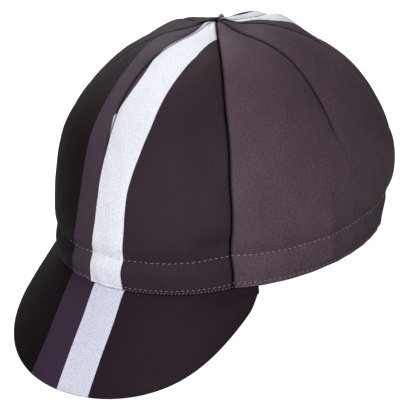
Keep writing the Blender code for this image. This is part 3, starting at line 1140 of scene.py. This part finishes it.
class CAP_OT_stitches(bpy.types.Operator):
    """Sew the rows of stitches along the band."""

    bl_idname = "cap.stitches"
    bl_label = "Stitches"

    def execute(self, context):
        settings = context.scene.cap_cloth
        thread = thread_material(settings)
        stitch_row("upper_stitches", UPPER_ROW, math.pi, thread, settings)
        stitch_row("lower_stitches", LOWER_ROW, math.pi, thread, settings)
        stitch_row("edge_stitches", EDGE_ROW, PEAK_HALF_ANGLE, thread, settings)
        return {"FINISHED"}


def add_area_light(name, place, power):
    data = bpy.data.lights.new(name, "AREA")
    data.shape = "SQUARE"
    data.size = LIGHT_SIDE
    data.energy = power
    light = bpy.data.objects.new(name, data)
    light.location = place
    light.rotation_euler = (Vector(LIGHT_AIM) - Vector(place)).to_track_quat("-Z", "Y").to_euler()
    bpy.context.scene.collection.objects.link(light)


def add_camera(settings):
    """The camera at the photograph's angle, worked out in the cap's own frame and then placed."""
    around, lift, roll = CAMERA_AZIMUTH, CAMERA_ELEVATION, CAMERA_ROLL
    back = Vector((math.sin(around) * math.cos(lift), -math.cos(around) * math.cos(lift), math.sin(lift)))
    level = Vector((math.cos(around), math.sin(around), 0.0))
    upright = back.cross(level)
    right = level * math.cos(roll) + upright * math.sin(roll)
    up = upright * math.cos(roll) - level * math.sin(roll)
    across, above = CAMERA_AIM
    place = cap_place()
    centre = right * across + up * above + back * settings.distance
    axes = Matrix((right, up, back)).transposed().to_4x4()
    data = bpy.data.cameras.new("camera")
    data.lens = settings.lens
    data.sensor_width = 36.0
    data.clip_start, data.clip_end = 0.05, 20.0
    camera = bpy.data.objects.new("camera", data)
    camera.matrix_world = place @ Matrix.Translation(centre) @ axes
    bpy.context.scene.collection.objects.link(camera)
    bpy.context.scene.camera = camera


def floor_material():
    """A pale studio floor. Its glow is strong where it is looked at, and weak where it lights the cap."""
    material = bpy.data.materials.new("floor")
    material.use_nodes = True
    tree = material.node_tree
    shader = tree.nodes["Principled BSDF"]
    shader.inputs["Base Color"].default_value = (FLOOR_GREY, FLOOR_GREY, FLOOR_GREY, 1.0)
    shader.inputs["Roughness"].default_value = 0.9
    shader.inputs["Specular IOR Level"].default_value = 0.1
    shader.inputs["Emission Color"].default_value = (1.0, 1.0, 1.0, 1.0)
    looked_at = node(tree, "ShaderNodeLightPath")
    glow = calculate(tree, "MULTIPLY_ADD", looked_at.outputs["Is Camera Ray"], FLOOR_WHITENESS, FLOOR_GLOW)
    wire(tree, glow, shader, "Emission Strength")
    return material


class CAP_OT_stage(bpy.types.Operator):
    """Set the floor, the soft lights and the camera."""

    bl_idname = "cap.stage"
    bl_label = "Stage"

    def execute(self, context):
        settings = context.scene.cap_stage
        mesh = bmesh.new()
        bmesh.ops.create_grid(mesh, x_segments=1, y_segments=1, size=settings.floor_side / 2)
        bmesh.ops.translate(mesh, vec=(0, 0, -FLOOR_DROP), verts=mesh.verts[:])
        floor = new_object("floor", mesh, floor_material())
        world = bpy.data.worlds.new("studio")
        world.use_nodes = True
        background = world.node_tree.nodes["Background"]
        background.inputs["Color"].default_value = (1.0, 1.0, 1.0, 1.0)
        background.inputs["Strength"].default_value = settings.world_strength
        context.scene.world = world
        add_area_light("key", KEY_PLACE, settings.key_power)
        add_area_light("high", HIGH_PLACE, settings.high_power)
        add_area_light("back", BACK_PLACE, settings.back_power)
        context.scene.view_settings.view_transform = "Standard"
        add_camera(settings)
        return {"FINISHED"}


class CAP_PT_build(bpy.types.Panel):
    """Lists the steps that build the cap, with their settings."""

    bl_idname = "CAP_PT_build"
    bl_label = "Cycling cap"
    bl_space_type = "VIEW_3D"
    bl_region_type = "UI"
    bl_category = "Cap"

    def draw(self, context):
        layout = self.layout
        for group in (context.scene.cap_cloth, context.scene.cap_stage):
            column = layout.column()
            for name in group.__annotations__:
                column.prop(group, name)
        for operator in OPERATORS:
            layout.operator(operator.bl_idname)


OPERATORS = (CAP_OT_crown, CAP_OT_sweatband, CAP_OT_peak, CAP_OT_stitches, CAP_OT_stage)
CLASSES = (CapClothSettings, CapStageSettings, *OPERATORS, CAP_PT_build)


def register():
    for item in CLASSES:
        bpy.utils.register_class(item)
    bpy.types.Scene.cap_cloth = PointerProperty(type=CapClothSettings)
    bpy.types.Scene.cap_stage = PointerProperty(type=CapStageSettings)


def unregister():
    del bpy.types.Scene.cap_stage
    del bpy.types.Scene.cap_cloth
    for item in reversed(CLASSES):
        bpy.utils.unregister_class(item)


def write_sizes():
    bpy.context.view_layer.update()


def main():
    register()
    bpy.ops.cap.crown()
    bpy.ops.cap.sweatband()
    bpy.ops.cap.peak()
    bpy.ops.cap.stitches()
    bpy.ops.cap.stage()
    write_sizes()


if __name__ == "__main__":
    main()
